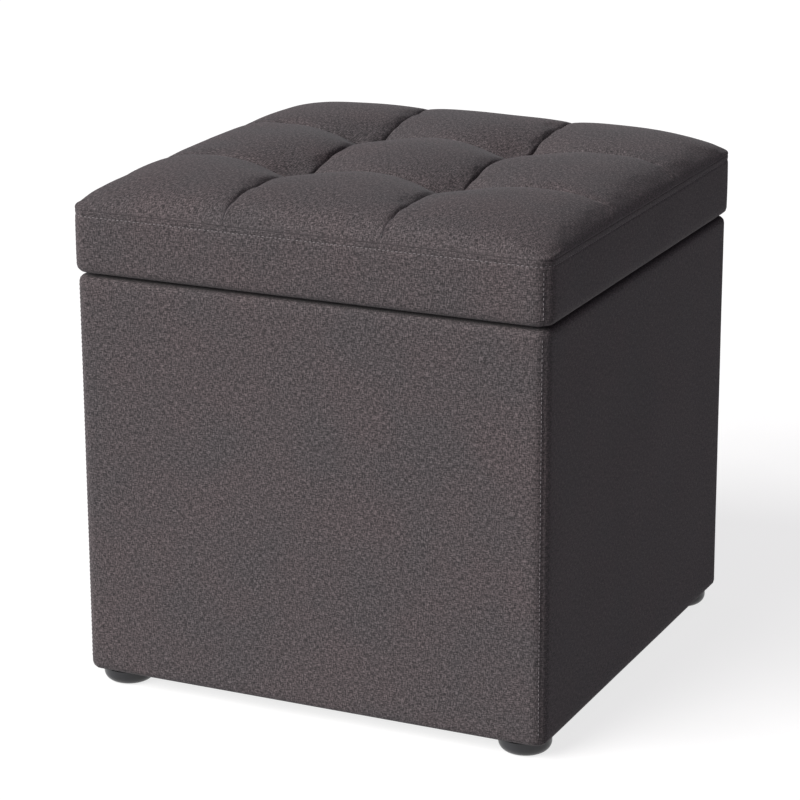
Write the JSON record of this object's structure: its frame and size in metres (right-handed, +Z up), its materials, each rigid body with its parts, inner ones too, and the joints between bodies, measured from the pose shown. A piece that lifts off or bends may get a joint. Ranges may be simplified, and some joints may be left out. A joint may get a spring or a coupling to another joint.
{
  "type": "ottoman with storage",
  "caption": "Cube storage ottoman: padded woven fabric over a board box, hinged grid-tufted lid held open by a slotted stay, low round glide feet.",
  "frame": {"origin": "on the floor, at the middle of the object's plan, below its centre", "axes": "+Z up; -Y is the front, where the lid opens; +X is to the right seen from the front; the hinge axis runs along X at the back"},
  "size_m": [0.4044, 0.4087, 0.4237],
  "materials": {
    "upholstery": "warm charcoal linen-look melange weave",
    "board": "raw medium-density board",
    "batten": "planed pine",
    "foam": "cut open-cell foam",
    "lining": "black spunbond non-woven",
    "dust_cloth": "black spunbond non-woven",
    "foot_plastic": "moulded black, satin",
    "washer_plastic": "moulded natural",
    "twine": "waxed nylon twine",
    "zinc_steel": "bright zinc plated"
  },
  "bodies": {
    "body": {"bottom_panel": "board", "front_panel": "board", "back_panel": "board", "left_panel": "board", "right_panel": "board", "corner_post_front_left": "batten", "corner_post_front_right": "batten", "corner_post_back_left": "batten", "corner_post_back_right": "batten", "hinge_rail": "batten", "panel_screws": "zinc_steel", "front_padding": "foam", "back_padding": "foam", "left_padding": "foam", "right_padding": "foam", "body_cover": "upholstery", "wall_liner": "lining", "floor_liner": "lining", "dust_cover": "dust_cloth", "dust_cover_staples": "zinc_steel", "foot_front_left": "foot_plastic", "foot_front_right": "foot_plastic", "foot_back_left": "foot_plastic", "foot_back_right": "foot_plastic", "foot_screws": "zinc_steel", "body_hinge_leaf_left": "zinc_steel", "body_hinge_leaf_right": "zinc_steel", "hinge_pin_left": "zinc_steel", "hinge_pin_right": "zinc_steel", "body_hinge_screws": "zinc_steel", "stay_plate": "zinc_steel", "stay_stud": "zinc_steel", "stay_plate_screws": "zinc_steel"},
    "lid": {"lid_board": "board", "lid_foam": "foam", "lid_band": "upholstery", "lid_top_cover": "upholstery", "lid_lining": "lining", "lid_lining_staples": "zinc_steel", "tuft_twines": "twine", "tuft_washers": "washer_plastic", "lid_hinge_leaf_left": "zinc_steel", "lid_hinge_leaf_right": "zinc_steel", "lid_hinge_screws": "zinc_steel", "stay_bracket": "zinc_steel", "stay_rivet": "zinc_steel", "stay_bracket_screws": "zinc_steel"},
    "stay_arm": {"stay_arm": "zinc_steel"}
  },
  "joints": [
    {"name": "lid_hinge", "type": "hinge", "parent": "body", "child": "lid", "pos_m": [0, 0.203, 0.3443], "axis": [-1, 0, 0], "range_deg": [0, 95]},
    {"name": "stay_pivot", "type": "hinge", "parent": "lid", "child": "stay_arm", "pos_m": [-0.1781, 0.0936, 0.3328], "axis": [-1, 0, 0], "range_deg": [-47.5, 0]}
  ],
  "couplings": [
    {"joint": "stay_pivot", "follows": "lid_hinge", "ratio": -0.5}
  ]
}
